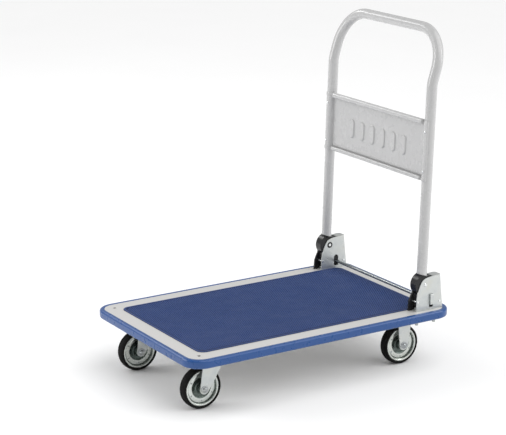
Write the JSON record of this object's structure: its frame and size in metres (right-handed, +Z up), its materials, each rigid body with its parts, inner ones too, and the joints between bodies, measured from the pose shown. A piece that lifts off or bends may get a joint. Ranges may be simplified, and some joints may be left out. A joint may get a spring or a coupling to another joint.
{
  "type": "platform truck",
  "caption": "Flatbed platform truck with a fold-down push handle, a bumper edge, two swivel and two rigid casters.",
  "frame": {"origin": "on the floor under the middle of the platform", "axes": "+Z up from the floor, +X along the platform towards the handle, +Y across it to the right seen with the handle ahead"},
  "size_m": [0.74, 0.48, 0.835],
  "materials": {
    "painted_steel_ivory": "satin paint",
    "mat_vinyl": "matt, fine texture",
    "bumper_plastic": "satin",
    "black_plastic": "satin",
    "painted_steel_silver": "smooth satin paint",
    "zinc_plated_steel": "bright zinc plate",
    "dark_steel": "oiled",
    "tyre_rubber": "matt"
  },
  "bodies": {
    "platform": {"deck_pan": "painted_steel_ivory", "crossmember_front": "painted_steel_ivory", "crossmember_rear": "painted_steel_ivory", "deck_stringer": "painted_steel_ivory", "mat": "mat_vinyl", "bumper": "bumper_plastic", "hinge_bracket_left": "zinc_plated_steel", "hinge_bracket_right": "zinc_plated_steel", "lock_guard_left": "black_plastic", "lock_guard_right": "black_plastic", "pivot_pins": "zinc_plated_steel", "spacer_pins": "zinc_plated_steel", "bracket_bolts": "zinc_plated_steel", "bracket_nuts": "zinc_plated_steel", "caster_bolts": "zinc_plated_steel", "caster_nuts": "zinc_plated_steel", "swivel_plate_left": "zinc_plated_steel", "swivel_plate_right": "zinc_plated_steel", "kingpins": "zinc_plated_steel", "swivel_balls": "dark_steel", "rigid_fork_left": "zinc_plated_steel", "rigid_fork_right": "zinc_plated_steel", "rear_axle_bolts": "zinc_plated_steel", "rear_axle_nuts": "zinc_plated_steel"},
    "handle": {"handle_tube": "painted_steel_silver", "handle_panel": "painted_steel_silver", "panel_rivets": "painted_steel_silver", "handle_hub_left": "black_plastic", "handle_hub_right": "black_plastic"},
    "release": {"release_bar": "zinc_plated_steel", "lock_block_left": "black_plastic", "lock_block_right": "black_plastic", "lock_plate_left": "zinc_plated_steel", "lock_plate_right": "zinc_plated_steel", "return_spring_left": "dark_steel", "return_spring_right": "dark_steel"},
    "swivel_left": {"swivel_fork_left": "zinc_plated_steel", "front_axle_bolt_left": "zinc_plated_steel", "front_axle_nut_left": "zinc_plated_steel"},
    "swivel_right": {"swivel_fork_right": "zinc_plated_steel", "front_axle_bolt_right": "zinc_plated_steel", "front_axle_nut_right": "zinc_plated_steel"},
    "wheel_front_left": {"wheel_disc_front_left": "zinc_plated_steel", "tyre_front_left": "tyre_rubber", "wheel_bush_front_left": "dark_steel", "wheel_rivets_front_left": "zinc_plated_steel"},
    "wheel_front_right": {"wheel_disc_front_right": "zinc_plated_steel", "tyre_front_right": "tyre_rubber", "wheel_bush_front_right": "dark_steel", "wheel_rivets_front_right": "zinc_plated_steel"},
    "wheel_rear_left": {"wheel_disc_rear_left": "zinc_plated_steel", "tyre_rear_left": "tyre_rubber", "wheel_bush_rear_left": "dark_steel", "wheel_rivets_rear_left": "zinc_plated_steel"},
    "wheel_rear_right": {"wheel_disc_rear_right": "zinc_plated_steel", "tyre_rear_right": "tyre_rubber", "wheel_bush_rear_right": "dark_steel", "wheel_rivets_rear_right": "zinc_plated_steel"}
  },
  "joints": [
    {"name": "handle_fold", "type": "hinge", "parent": "platform", "child": "handle", "pos_m": [0.296, 0, 0.213], "axis": [0, -1, 0], "range_deg": [0, 92]},
    {"name": "release_slide", "type": "slide", "parent": "platform", "child": "release", "axis": [0, 0, 1], "range_m": [-0.007, 0], "stiffness_N_per_m": 900, "springref_m": 0.002, "deforming": ["return_spring_left", "return_spring_right"]},
    {"name": "caster_swivel_left", "type": "hinge", "parent": "platform", "child": "swivel_left", "pos_m": [-0.27, -0.15, 0.113], "axis": [0, 0, 1], "continuous": true},
    {"name": "caster_swivel_right", "type": "hinge", "parent": "platform", "child": "swivel_right", "pos_m": [-0.27, 0.15, 0.113], "axis": [0, 0, 1], "continuous": true},
    {"name": "wheel_spin_front_left", "type": "hinge", "parent": "swivel_left", "child": "wheel_front_left", "pos_m": [-0.297, -0.15, 0.05], "axis": [0, 1, 0], "continuous": true},
    {"name": "wheel_spin_front_right", "type": "hinge", "parent": "swivel_right", "child": "wheel_front_right", "pos_m": [-0.297, 0.15, 0.05], "axis": [0, 1, 0], "continuous": true},
    {"name": "wheel_spin_rear_left", "type": "hinge", "parent": "platform", "child": "wheel_rear_left", "pos_m": [0.27, -0.15, 0.05], "axis": [0, 1, 0], "continuous": true},
    {"name": "wheel_spin_rear_right", "type": "hinge", "parent": "platform", "child": "wheel_rear_right", "pos_m": [0.27, 0.15, 0.05], "axis": [0, 1, 0], "continuous": true}
  ]
}
